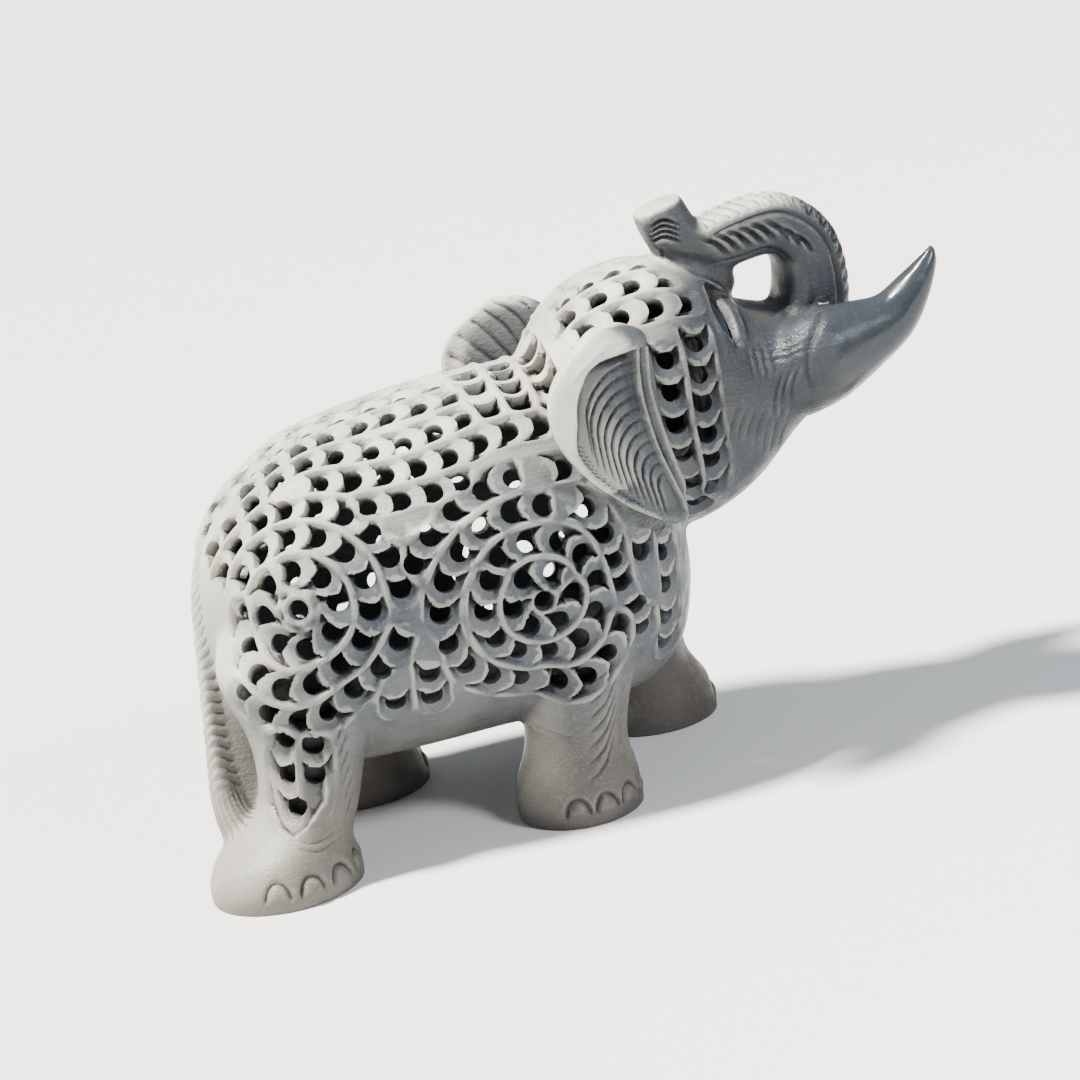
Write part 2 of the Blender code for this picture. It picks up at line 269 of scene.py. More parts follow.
def skin(form, stations, along=None, squareness=2.0, turn=0.0, across=1.0, depth=1.0, grow=0.0):
    # one closed limb: a ring at each station, bridged to the next, with both ends filled
    path = smoothPath(stations)
    rings = []
    for i, (x, y, z, halfAcross, halfDepth) in enumerate(path):
        ahead, side, front = stationFrame(path, i, along, turn)
        wide = across * halfAcross + grow
        deep = depth * halfDepth + grow
        ring = bmesh.ops.create_circle(form, segments=grain["ringPoints"], radius=1)["verts"]
        for vert in ring:
            vert.co = (Vector((x, y, z)) + side * wide * squared(vert.co.x, squareness)
                       + front * deep * squared(vert.co.y, squareness))
        rings.append(list({edge for vert in ring for edge in vert.link_edges}))
    for low, high in zip(rings, rings[1:]):
        bmesh.ops.bridge_loops(form, edges=low + high)
    for end in (rings[0], rings[-1]):
        bmesh.ops.contextual_create(form, geom=end)


def rightEar():
    return [(x, -y, *rest) for x, y, *rest in ears["stations"]]


def leftEar():
    return [(x - ears["leftBack"], y, z - ears["leftDown"], *rest) for x, y, z, *rest in ears["stations"]]


def outerForm():
    form = bmesh.new()
    ahead = (1, 0, 0)
    up = (0, 0, 1)
    earTurn = radians(ears["turn"])
    skin(form, body["barrel"], ahead, body["barrelSquareness"])
    skin(form, head["skull"], ahead, head["squareness"])
    skin(form, trunk["stations"], squareness=trunk["squareness"])
    skin(form, trunk["bridge"], ahead)
    skin(form, tusks["right"])
    skin(form, tusks["left"])
    skin(form, rightEar(), up, ears["squareness"], earTurn, across=ears["thick"] / 2)
    skin(form, leftEar(), up, ears["squareness"], -earTurn, across=ears["thick"] / 2)
    skin(form, tail["stations"], across=tail["thick"] / 2, depth=tail["thick"] / 2)
    skin(form, tail["web"], up, across=tail["thick"] / 2)
    for stations in legs.values():
        skin(form, stations, up)
    bmesh.ops.recalc_face_normals(form, faces=form.faces)
    return form


def hollowForm():
    form = bmesh.new()
    skin(form, body["barrel"][2:-2], (1, 0, 0), body["barrelSquareness"], grow=-body["wall"])
    skin(form, head["skull"][2:6], (1, 0, 0), head["squareness"], grow=-body["wall"])
    bmesh.ops.recalc_face_normals(form, faces=form.faces)
    return form


def makeObject(name, form):
    mesh = bpy.data.meshes.new(name)
    form.to_mesh(mesh)
    form.free()
    thing = bpy.data.objects.new(name, mesh)
    bpy.context.scene.collection.objects.link(thing)
    return thing


def settle(thing):
    seen = thing.evaluated_get(bpy.context.evaluated_depsgraph_get())
    mesh = bpy.data.meshes.new_from_object(seen)
    thing.modifiers.clear()
    thing.data = mesh


def fuse(thing, voxel, softening):
    remesh = thing.modifiers.new("fuse", "REMESH")
    remesh.mode = "VOXEL"
    remesh.voxel_size = voxel
    soften = thing.modifiers.new("soften", "SMOOTH")
    soften.factor = grain["softenFactor"]
    soften.iterations = softening
    settle(thing)


def cut(thing, tool):
    boolean = thing.modifiers.new("cut", "BOOLEAN")
    boolean.operation = "DIFFERENCE"
    boolean.solver = "MANIFOLD"
    boolean.object = tool
    settle(thing)
    bpy.data.objects.remove(tool, do_unlink=True)


def triangleCount(thing):
    return sum(len(p.vertices) - 2 for p in thing.data.polygons)


def thin(thing, faces):
    triangles = triangleCount(thing)
    if triangles <= faces:
        return
    decimate = thing.modifiers.new("thin", "DECIMATE")
    decimate.ratio = faces / triangles
    decimate.use_collapse_triangulate = True
    settle(thing)


def dropChips(thing):
    # takes away what the drills left loose, and keeps the one large piece
    form = bmesh.new()
    form.from_mesh(thing.data)
    seen = set()
    pieces = []
    for first in form.verts:
        if first in seen:
            continue
        seen.add(first)
        piece = [first]
        for vert in piece:      # the list grows while it is walked
            for edge in vert.link_edges:
                other = edge.other_vert(vert)
                if other not in seen:
                    seen.add(other)
                    piece.append(other)
        pieces.append(piece)
    pieces.sort(key=len)
    bmesh.ops.delete(form, geom=[vert for piece in pieces[:-1] for vert in piece], context="VERTS")
    form.to_mesh(thing.data)
    form.free()
    print("loose chips taken away:", len(pieces) - 1)


# The pierced rows. A row runs through places given as x and degrees off the top of the barrel,
# and its scales point the way that it runs.
scales = {
    "step": 8.9,            # from one hole to the next along a row
    "sample": 1.0,          # a row is measured this often
    "hole": 2.75,           # radius
    "depth": 2.9,           # how far the ramp drops at the hole
    "tipBack": 1.6,         # the scale before ends this far behind the hole's middle
    "tipRound": 0.20,       # how fast the tip falls back to its sides
    "halfWide": 5.1,
    "vine": 0.9,            # half the stone left standing between two rows
    "vineRise": 0.5,
    "borderRise": 0.4,      # round the outermost rows
    "snap": 0.5,            # points this near a tip's edge are drawn onto it
    "snapAhead": 0.06,
    "snapBehind": 0.05,
    "keepApart": 6.3,       # two holes are never nearer than this
    "rowApart": 4.8,        # nor two rows
    "fewest": 4,            # measured places that a row needs
    "jitter": 0.3,          # the carver's unevenness along a row
    "holeSpread": (0.93, 1.07),
    "sameRow": 1.6,         # steps along a row that don't count as a neighbour
    "reach": 8,             # no scale is further than this from its row
    "offFace": 4.5,         # nor this far above or below it
    "facing": 0.35,
    "bendLimits": (0.35, 3),
    "rampSteps": 1.02,      # a lone scale's length in steps
    "rampCurve": 1.35,
    "tipHalf": 2.9,         # half the width of the clean edge
    "sides": 14,
    "drillPast": 9.0,
    "drillFrom": 3,         # the drill starts this far off the stone
    "drillGap": 12,         # nearer holes are cut in different passes
    "flare": 1.22,          # how much wider the drilled hole is inside
    "leftStep": 10.6,       # the left side is plainer, with fewer and smaller holes
    "leftHole": 2.4,
    "leftPlain": 88,        # below this height every second scale there has no hole
}
flankRows = {
    "spine": [(-62, 8), (-30, 7), (6, 6)],
    "back one": [(-63, 20), (-38, 17), (-20, 17), (9, 17)],
    "back two": [(-63, 33), (-43, 27), (-30, 27), (-20, 31), (-8, 33), (10, 29)],
    "back three": [(-63, 46), (-50, 38), (-36, 37), (-24, 41), (-10, 43), (4, 42), (18, 38), (30, 38)],
    "back four": [(-62, 58), (-50, 48), (-40, 46), (-30, 50), (-18, 53), (-3, 53), (14, 50), (29, 46)],
    "saddle": [(-33, 58), (-25, 61), (-17, 62), (-8, 60)],
    "back five": [(14, 60), (23, 55), (33, 54)],
    "back six": [(-17, 72), (-4, 72), (8, 71.5), (19, 68), (28, 64), (36, 67), (40.5, 78), (42, 90),
                 (43.5, 101), (47, 111), (48, 121)],
    "shoulder rear": [(17, 3), (17, 14), (18, 28)],
    "shoulder middle": [(26, 3), (26, 14), (27, 28)],
    "shoulder front": [(35, 4), (35, 16), (36, 30), (38, 44)],
    "middle rear": [(-17.5, 81), (-20, 91), (-22, 101), (-24, 111), (-24, 122)],
    "middle": [(-8, 80.5), (-11, 91), (-12.5, 102), (-14, 113), (-14, 123)],
    "chest rear": [(51, 90), (50.5, 111), (50, 132)],
    "chest front": [(58, 95), (57, 117), (56, 138)],
}
headRows = {                # the same, off the middle of the head
    "dome crown": [(46, 10), (58, 10), (69, 10)],
    "dome high": [(45, 25), (56, 25), (66, 24), (74, 25)],
    "dome low": [(48, 41), (58, 40), (68, 39), (78, 37)],
}
cheekRows = {               # x and z on the cheek
    "cheek rear": [(67.5, 121.5), (67, 103), (69.8, 83), (71.5, 78)],
    "cheek front": [(77, 124), (75.5, 105), (76, 86), (74.5, 80)],
}
thighRows = {               # x and z on the right thigh, in a sunk panel shaped like a drop
    "rear": [(-56.2, 45), (-58.2, 36), (-57, 25.5)],
    "front": [(-48.8, 41.5), (-49.8, 33), (-52.2, 26)],
    "leftShift": 16.5,      # the left leg stands this much further ahead
    "middle": 30,           # the leg's middle, off the middle of the elephant
    "top": 50,
    "foot": 32,
    "deep": 7,              # the drill stops in the solid leg
    "panelDepth": 1.3,
    "panelOut": 30,
    "panelEdge": (-0.7, 0.3),
    "vineHalf": 1.1,
    "vineFrom": (26, 28),
    "panelMiddle": [(18, -59), (26, -56), (36, -54.3), (47.5, -53.7)],      # z, and x there
    "panelHalf": [(18, 0), (20, 3.5), (25.5, 7.4), (36, 7.8), (40, 7.4), (45, 5.3), (47.5, 0.5)],
    "vine": [(26, -55.6), (37, -54.8), (47, -54.6)],
}

# Round each spiral's eye the rows run in arcs: first angle, radius at the start and at the end,
# and how far round, in degrees.
spirals = {
    "rump": {"eye": (-45.2, -41.4, 78.1), "turn": -1,
             "arcs": [(98, 10.4, 11.4, 318), (150, 20.6, 17.8, 330), (-28, 28, 24, 104),
                      (156, 28.6, 27.5, 152)]},
    "shoulder": {"eye": (19.8, -45.4, 66.7), "turn": 1,
                 "arcs": [(56, 7.8, 8.8, 300), (146, 15.0, 16.8, 338), (78, 25.4, 23.4, 250),
                          (92, 33.5, 30.5, 116)]},
    "arcStep": 6,           # degrees from one measured place to the next
    "ball": 45,             # the flank is close to a ball of this radius
    "rumpX": -26,           # the rump rounds about this place
    "eyeHole": 2.7,
    "eyeRing": 1.0,
    "whirl": 9,             # how far ring and petals reach from the eye
    "petals": 6,
    "petalDepth": 1.3,
}


def surfaceOf(thing):
    return BVHTree.FromPolygons([v.co for v in thing.data.vertices],
                                [p.vertices[:] for p in thing.data.polygons])


def castRow(surface, spots):
    # spots are (origin, way) rays from inside the stone
    hits = []
    for origin, way in spots:
        hit, normal, _, _ = surface.ray_cast(origin, way)
        if hit is not None:
            hits.append((hit, normal if normal.dot(way) > 0 else -normal))
    return hits


def runOf(points):
    return np.concatenate([[0], np.cumsum(np.linalg.norm(np.diff(points, axis=0), axis=1))])


def measured(hits):
    # each row becomes even places on the stone: point, way out, way along, length run and bend
    points = np.array([hit for hit, _ in hits])
    outs = np.array([normal for _, normal in hits])
    run = runOf(points)
    even = np.linspace(0, run[-1], max(scales["fewest"], int(run[-1] / scales["sample"]) + 1))
    points, outs = (np.stack([np.interp(even, run, values[:, i]) for i in range(3)], 1)
                    for values in (points, outs))
    for _ in range(grain["rowPasses"]):     # even out the facets of the form
        outs[1:-1] = (outs[:-2] + outs[1:-1] + outs[2:]) / 3
        points[1:-1] = (points[:-2] + 2 * points[1:-1] + points[2:]) / 4
    outs /= np.linalg.norm(outs, axis=1)[:, None]
    ways = np.gradient(points, axis=0)
    ways -= outs * (ways * outs).sum(1)[:, None]
    ways /= np.linalg.norm(ways, axis=1)[:, None]
    run = runOf(points)
    bend = (np.gradient(ways, axis=0) * np.cross(outs, ways)).sum(1) / np.gradient(run)
    return {"points": points, "outs": outs, "ways": ways, "run": run, "bend": bend}


def offTop(x, middle, degrees, side):
    lean = radians(degrees)
    return Vector((x, 0, middle)), Vector((0, side * sin(lean), cos(lean)))


def walked(eye, u, v):
    # from the middle of the ball under the eye, the way out of it after a walk u along and v up
    eye = Vector(eye)
    middle = Vector((max(eye.x, spirals["rumpX"]), 0, body["barrelMiddle"]))
    out = (eye - middle).normalized()
    right = Vector((0, 0, 1)).cross(out).normalized()
    up = out.cross(right)
    far = hypot(u, v)
    if far == 0:
        return middle, out
    way = (right * u + up * v) / far
    return middle, out * cos(far / spirals["ball"]) + way * sin(far / spirals["ball"])


def arcSpots(spiral, arc, side):
    x, y, z = spiral["eye"]
    eye = (x, -y * side, z)
    first, near, far, sweep = arc
    count = int(sweep / spirals["arcStep"])
    spots = []
    for i in range(count + 1):
        share = i / count
        radius = near + (far - near) * share
        turned = radians(first + spiral["turn"] * sweep * share)
        spots.append(walked(eye, radius * cos(turned) * -side, radius * sin(turned)))
    return spots


def trimmed(row, earlier):
    # the longest stretch of a row that keeps clear of the rows before it
    if not earlier:
        return row
    others = np.concatenate([other["points"] for other in earlier])
    gap = np.linalg.norm(row["points"][:, None] - others[None], axis=2).min(1)
    clear = gap > scales["rowApart"]
    best = (0, 0)
    start = None
    for i, free in enumerate(list(clear) + [False]):
        if free and start is None:
            start = i
        if not free and start is not None:
            if i - start > best[1] - best[0]:
                best = (start, i)
            start = None
    kept = {key: values[best[0]:best[1]] for key, values in row.items()}
    if best[1] - best[0] < scales["fewest"]:
        return None
    kept["run"] = kept["run"] - kept["run"][0]
    return kept


def allRows(surface, side):
    hits = []
    for name in ("rump", "shoulder"):
        for arc in spirals[name]["arcs"]:
            hits.append(castRow(surface, arcSpots(spirals[name], arc, side)))
    for lot, middle in ((flankRows, body["barrelMiddle"]), (headRows, head["middle"])):
        for places in lot.values():
            hits.append(castRow(surface, [offTop(x, middle, lean, side) for x, lean in curve(places)]))
    for places in cheekRows.values():
        hits.append(castRow(surface, [offTop(x, z, 90, side) for x, z in curve(places)]))
    ahead = thighRows["leftShift"] if side > 0 else 0
    for name in ("rear", "front"):
        hits.append(castRow(surface, [(Vector((x + ahead, side * thighRows["middle"], z)),
                                       Vector((0, side, 0))) for x, z in curve(thighRows[name])]))
    rows = []
    for spots in hits:
        if len(spots) < scales["fewest"]:
            continue
        row = trimmed(measured(spots), rows)
        if row is not None:
            onThigh = row["points"][0][2] < thighRows["top"] and row["points"][-1][2] < thighRows["foot"]
            row["deep"] = thighRows["deep"] if onThigh else scales["drillPast"]
            rows.append(row)
    return rows


chance = random.Random(11)


def placeCells(rows, side):
    # holes one step apart along each row, leaving out those that would run into another
    taken = []
    plain = side > 0        # the left side
    step = scales["leftStep" if plain else "step"]
    hole = scales["leftHole" if plain else "hole"]
    for row in rows:
        row["cells"] = []
        length = row["run"][-1]
        count = max(2, round(length / step) + 1)
        for k in range(count):
            run = length * (k + 0.5 * plain) / (count - 1) \
                + chance.uniform(-scales["jitter"], scales["jitter"])
            i = int(np.argmin(abs(row["run"] - run)))
            place = Vector(row["points"][i])
            if all((place - other).length > scales["keepApart"] for other in taken):
                taken.append(place)
                cell = {"run": row["run"][i], "place": place, "out": Vector(row["outs"][i]),
                        "way": Vector(row["ways"][i]), "deep": row["deep"], "step": step}
                cell["hole"] = hole * chance.uniform(*scales["holeSpread"])
                cell["blind"] = plain and place.z < scales["leftPlain"] and len(row["cells"]) % 2 == 1
                row["cells"].append(cell)


def smoothStep(value, low, high):
    t = np.clip((value - low) / (high - low), 0, 1)
    return t * t * (3 - 2 * t)


def ridge(distance, half):
    return np.exp(-(distance / half) ** 2)


def pulse(phase, sharp):
    # narrow grooves, one at each whole number
    return (0.5 + 0.5 * np.cos(2 * pi * phase)) ** sharp


def engraved(a, b, lines, half):
    # how far each point is in some strokes, which are curves of a and b that fade at both ends
    deep = np.zeros(len(a))
    for line in lines:
        path = np.array(curve(line, grain["strokeSteps"]))
        low = path.min(0) - grain["strokeReach"]
        high = path.max(0) + grain["strokeReach"]
        near = np.nonzero((a > low[0]) & (a < high[0]) & (b > low[1]) & (b < high[1]))[0]
        last = len(path) - 1
        for i in range(last):
            start, step = path[i], path[i + 1] - path[i]
            offA, offB = a[near] - start[0], b[near] - start[1]
            t = np.clip((offA * step[0] + offB * step[1]) / (step @ step), 0, 1)
            gap = np.hypot(offA - t * step[0], offB - t * step[1])
            fade = np.sin(pi * np.clip((i + t) / last, *grain["strokeEnds"])) ** 0.5
            deep[near] = np.maximum(deep[near], fade * ridge(gap, half))
    return deep


# Strokes of the graver: first line in x and z, the step to the next, how many, how deep (raised
# where it is less than nothing), half how wide, and how much further ahead on the left side
strokes = {
    "brow line": ([(70, 145), (79, 140.5), (87.5, 134.5), (92.5, 131), (94.5, 125)], (0, 0), 1, -0.8, 0.8, 0),
    "valley": ([(71, 147), (81, 143.5), (88, 140.5), (93, 136.5)], (0, 0), 1, 1.3, 1.4, 0),
    "tusk root": ([(117, 125.5), (111, 120), (107.8, 116), (106, 110), (106.5, 103)], (0, 0), 1, 1.0, 0.8, 0),
    "lip": ([(105.7, 113), (103, 108.5), (101.5, 104), (101, 97)], (-2.5, -1.4), 3, 0.5, 0.5, 0),
    "under loop": ([(95, 125.5), (104, 122.5), (113, 126)], (-0.8, -1.9), 6, 0.25, 0.35, 0),
    "trunk notches": ([(88.6, 146.8), (91.4, 145.4), (94.4, 141.6)], (3.5, 0.35), 5, 1.5, 0.72, 0),
    "trunk bend": ([(106.8, 148.2), (110, 146), (112, 142.2)], (3.2, -2.4), 3, 1.3, 0.66, 0),
    "trunk inner line": ([(88, 140.2), (97, 139.8), (107, 140.6), (113, 135)], (0, 0), 1, 0.5, 0.5, 0),
    "trunk tip": ([(74.0, 153.0), (78, 154.6), (82.2, 152.6)], (-0.15, -1.6), 4, 1.3, 0.52, 0),
    "cheek": ([(92, 118), (91.4, 109)], (2.3, -0.2), 4, 0.35, 0.4, 0),
    "jaw": ([(85.7, 104.5), (82.3, 98.5), (80.7, 92)], (2.7, -1.0), 7, 0.4, 0.4, 0),
    "fore leg": ([(39, 49), (35, 42), (28.5, 38)], (-0.8, -4.3), 7, 0.6, 0.5, 29),
    "fore leg front": ([(41, 42), (37.8, 34)], (-1.0, -5.2), 4, 0.35, 0.4, 29),
    "hind leg": ([(-38.5, 47), (-42.5, 41)], (-0.2, -4.4), 6, 0.45, 0.45, 16.5),
    "hind ankle": ([(-60, 18.5), (-54, 15.5), (-46, 17)], (0.3, -2.2), 2, 0.4, 0.45, 16.5),
    "belly": ([(-24, 31), (-14, 27)], (5.2, -0.3), 8, 0.3, 0.5, 8),
}


def strokeRelief(points, outs, side):
    on = np.nonzero((outs[:, 1] * side > 0.2) & (points[:, 1] * side > 5))[0]
    sunk = np.zeros(len(points))
    for line, (stepX, stepZ), count, depth, half, leftShift in strokes.values():
        ahead = leftShift if side > 0 else 0
        lines = [[(x + ahead + k * stepX, z + k * stepZ) for x, z in line] for k in range(count)]
        sunk[on] += depth * engraved(points[on, 0], points[on, 2], lines, half)
    return sunk


def panelRelief(points, outs, side):
    ahead = thighRows["leftShift"] if side > 0 else 0
    x, z = points[:, 0] - ahead, points[:, 2]
    middle, half, vine = (np.interp(z, *zip(*thighRows[name]))
                          for name in ("panelMiddle", "panelHalf", "vine"))
    inside = 1 - smoothStep(abs(x - middle) - half, *thighRows["panelEdge"])
    foot, top = thighRows["panelMiddle"][0][0], thighRows["panelMiddle"][-1][0]
    inside *= (z > foot) & (z < top)
    inside *= (points[:, 1] * side > thighRows["panelOut"]) & (outs[:, 1] * side > 0.3)
    onVine = ridge(x - vine, thighRows["vineHalf"]) * smoothStep(z, *thighRows["vineFrom"])
    return thighRows["panelDepth"] * inside * (1 - onVine)


def ringEyes(sunk, points, eyes):
    # a raised ring round the eye of each spiral, in a whirl of petals on the rump
    for eye, petalled in eyes:
        offset = points - np.array(eye["place"])
        far = np.linalg.norm(offset, axis=1)
        near = far < spirals["whirl"]
        if petalled:
            sideways = eye["out"].cross(eye["way"])
            turn = np.arctan2(offset @ np.array(sideways), offset @ np.array(eye["way"]))
            petals = pulse(turn * spirals["petals"] / (2 * pi) - far / 9, 1.2)
            sunk += spirals["petalDepth"] * petals * ridge(far - 5.6, 1.6) * near
        sunk -= spirals["eyeRing"] * ridge(far - spirals["eyeHole"] - 1.1, 0.8) * near


def layScales(row, inRow, tip, across, channel, drop, draw):
    # each scale drops to the hole behind the tip before it, and points near a tip's edge are drawn onto it
    for k, cell in enumerate(row["cells"]):
        reach = cell["step"] * scales["rampSteps"]
        if k + 1 < len(row["cells"]):
            reach = min(reach, row["cells"][k + 1]["run"] - cell["run"])
        u = tip - cell["run"] + scales["tipBack"]
        inCell = inRow & (u >= 0) & (u < reach)
        gentle = 0.05 + 1.1 * np.clip((abs(across[inCell]) - 2.5) / 1.2, 0, 1)
        drop[inCell] = scales["depth"] * (1 - u[inCell] / reach) ** scales["rampCurve"] \
            * smoothStep(u[inCell], 0, gentle)
        edge = inRow & (abs(u) < scales["snap"]) & (channel > 0.15) & (abs(across) < scales["tipHalf"])
        draw[edge] = np.where(u[edge] >= 0, scales["snapAhead"], -scales["snapBehind"]) - u[edge]


def scaleRelief(points, outs, rows, eyes):
    # how far each point of one side is sunk by the scales and raised by the vines between them,
    # and how far it slides so that the tips of the scales get a clean edge
    samples, sampleOuts, sampleWays, sampleRun, sampleBend = (
        np.concatenate([row[key] for row in rows]) for key in ("points", "outs", "ways", "run", "bend"))
    sampleRow = np.concatenate([np.full(len(row["run"]), r) for r, row in enumerate(rows)])
    sunk = np.zeros(len(points))
    slide = np.zeros((len(points), 3))
    vine, wide = scales["vine"], scales["halfWide"]
    for start in range(0, len(points), grain["chunk"]):
        chunk = slice(start, start + grain["chunk"])
        p = points[chunk]
        far = np.sqrt(np.maximum(0, (p ** 2).sum(1)[:, None] + (samples ** 2).sum(1)[None]
                                 - 2 * p @ samples.T))
        near = far.argmin(1)
        nearest = far[np.arange(len(p)), near]
        same = (sampleRow[None] == sampleRow[near][:, None]) & \
            (abs(sampleRun[None] - sampleRun[near][:, None]) < scales["sameRow"] * scales["step"])
        far[same] = 1e3
        between = (far.min(1) - nearest) / 2
        offset = p - samples[near]
        sideways = np.cross(sampleOuts[near], sampleWays[near])
        across = (offset * sideways).sum(1)
        along = sampleRun[near] + (offset * sampleWays[near]).sum(1) \
            / np.clip(1 - sampleBend[near] * across, *scales["bendLimits"])
        height = (offset * sampleOuts[near]).sum(1)
        facing = (outs[chunk] * sampleOuts[near]).sum(1)
        here = (nearest < scales["reach"]) & (abs(height) < scales["offFace"]) & (facing > scales["facing"])
        level = np.sqrt(np.maximum(nearest ** 2 - height ** 2, 0))
        channel = smoothStep(between, vine - 0.3, vine + 0.6) \
            * (1 - smoothStep(abs(across), wide - 0.9, wide))
        drop = np.zeros(len(p))
        draw = np.zeros(len(p))
        tip = along + scales["tipRound"] * across ** 2
        for r, row in enumerate(rows):
            inRow = here & (sampleRow[near] == r)
            if inRow.any():
                layScales(row, inRow, tip, across, channel, drop, draw)
        raised = scales["vineRise"] * ridge(between, vine) * (1 - smoothStep(nearest, 5, 7))
        border = scales["borderRise"] * ridge(level - wide - 0.7, 0.8) * smoothStep(between, 1.0, 2.0)
        sunk[chunk] = np.where(here, drop * channel - raised - border, 0)
        slide[chunk] = sampleWays[near] * np.where(here, draw, 0)[:, None]
    ringEyes(sunk, points, eyes)
    return sunk, slide


def earPlace(points, stations, side):
    # how far across the blade as a share of half of it, that half, how far off the blade, the height
    # over its foot, and the height of its top
    path = np.array(smoothPath(stations))
    turn = radians(ears["turn"]) * -side
    height = np.clip(points[:, 2], path[0, 2], path[-1, 2])
    middle = np.stack([np.interp(height, path[:, 2], path[:, i]) for i in range(3)], 1)
    half = np.interp(height, path[:, 2], path[:, 4])
    rel = points - middle
    forward = rel[:, 0] * cos(turn) + rel[:, 1] * sin(turn)
    outward = (-rel[:, 0] * sin(turn) + rel[:, 1] * cos(turn)) * side
    return forward / half, half, outward, points[:, 2] - stations[0][2], path[-1, 2]


def earVeins(root, up):
    # they leave the midrib, bend over and run down
    lines = []
    for k in range(ears["veins"]):
        start = ears["fold"] - ears["veinDown"] - ears["veinStep"] * k
        reach = max(2.5, ears["veinReach"] - 0.44 * max(0, 45 - start))
        fall = 0.55 * reach + 3.5
        lines.append([(reach * sin(t), start - fall * (1 - cos(t))) for t in (-0.1, 0.4, 0.8, 1.2, 1.5)]
                     + [(reach + 0.8, start - fall - 4), (reach + 1.6, start - fall - 8)])
    return engraved(root, up, lines, ears["veinHalf"])


def earFront(share, half, up):
    # the dish under the folded top, with its veins, the midrib before it and the hatched rim behind it
    rim = np.interp(up, ears["rimHeights"], ears["rimWidths"])
    rear = (1 + share) * half
    foldLine = ears["fold"] - ears["foldDrop"] * np.clip((-0.1 - share) / 0.6, 0, 1.3) ** 2
    below = foldLine - up
    opened = smoothStep(below, -0.2, 0.7) * smoothStep(up, 1, 5)
    root = (ears["rib"] - share) * half
    dish = smoothStep(rear, rim - 1.0, rim + 0.8) * opened * smoothStep(root, -0.6, 0.6)
    veins = earVeins(root, up) * dish
    crescent = ridge(below - 1.0, 1.6) * dish * (root > 1)
    shade = dish * (1 - ears["shallower"] * smoothStep(below, 6, 30))
    midrib = (1.3 * ridge(root + 1.7, 0.8) - 0.8 * ridge(root + 3.4, 0.7)) * opened \
        - 0.5 * ridge(root, 0.7) * opened
    hatch = ears["hatch"] * pulse((up + 0.45 * rear) / ears["hatchStep"], 2) \
        * smoothStep(rear, rim - 0.6, rim) \
        * (1 - smoothStep(rear, rim + 2.4, rim + 3.2)) * smoothStep(up, 6, 10) * (1 - smoothStep(up, 28, 32))
    lobe = ridge(below + 2.6, 2.2) * smoothStep(rear, 2, 6)
    return ears["recess"] * shade + ears["veinDepth"] * veins + ears["crescent"] * crescent + midrib \
        + hatch - ears["lobe"] * lobe


def earBack(share, half, up):
    # grooves that fan out from the root, inside a thin raised rim
    fanUp = up - ears["fanHeight"]
    fanAcross = (1 - share) * half
    rear = (1 + share) * half
    fan = ears["fanDepth"] * pulse(np.arctan2(fanUp, fanAcross) * ears["fan"] / pi, 3) \
        * smoothStep(np.hypot(fanUp, fanAcross), 7, 11) * smoothStep(rear, 1.5, 3.5)
    return fan - ears["backRim"] * ridge(rear - 2.2, 1.2)


def earRelief(points, stations, side):
    share, half, outward, up, top = earPlace(points, stations, side)
    near, far = ears["offBlade"]
    inBlade = (up > 0) & (points[:, 2] < top + ears["overTop"]) & (abs(share) < ears["pastEdge"])
    front = inBlade & (outward > near) & (outward < far)
    back = (up > ears["backUp"]) & (points[:, 2] < top) & (outward < -near) & (outward > -far) \
        & (share > ears["backRear"]) & (share < ears["backRoot"])
    return np.where(front, earFront(share, half, up), 0) + np.where(back, earBack(share, half, up), 0)


def pathPlace(points, stations):
    # nearest place of a limb's path: run, how far to the side and to the front, as shares of its half sizes
    path = smoothPath(stations)
    centres = np.array([p[:3] for p in path])
    run = runOf(centres)
    frames = [stationFrame(path, i) for i in range(len(path))]
    ahead, side, front = (np.array([f[k] for f in frames]) for k in range(3))
    far = np.linalg.norm(points[:, None] - centres[None], axis=2)
    near = far.argmin(1)
    offset = points - centres[near]
    along = run[near] + (offset * ahead[near]).sum(1)
    wide = np.array([p[3] for p in path])[near]
    deep = np.array([p[4] for p in path])[near]
    return along, (offset * side[near]).sum(1) / wide, (offset * front[near]).sum(1) / deep, run[-1]


def trunkRelief(points):
    along, side, front, full = pathPlace(points, trunk["stations"])
    reach = np.maximum(abs(side), abs(front))
    on = (along > trunk["carvedFrom"]) & (along < full + trunk["pastTip"]) & (reach < trunk["near"])
    y = abs(points[:, 1])
    outerFace = smoothStep(front, 0.55, 0.75)
    crescents = pulse((along + trunk["ringSlant"] * y) / trunk["ringStep"], 1.2) * outerFace
    fading, gone = (full - back for back in trunk["ringsTo"])
    rings = trunk["ringDepth"] * crescents * smoothStep(along, *trunk["ringsFrom"]) \
        * (1 - smoothStep(along, fading, gone))
    flank = smoothStep(abs(side), 0.6, 0.85)
    edge = trunk["edgeGroove"] * ridge((front - 0.5) * 9, 0.9) * flank * smoothStep(along, 18, 30) \
        * (1 - smoothStep(along, full - 24, full - 20))
    fine = trunk["fine"] * pulse(front * 3.5, 1) * flank * (front < 0.35) * smoothStep(along, 12, 18) \
        * (1 - smoothStep(along, 34, 42))
    return np.where(on, rings + edge + fine, 0)


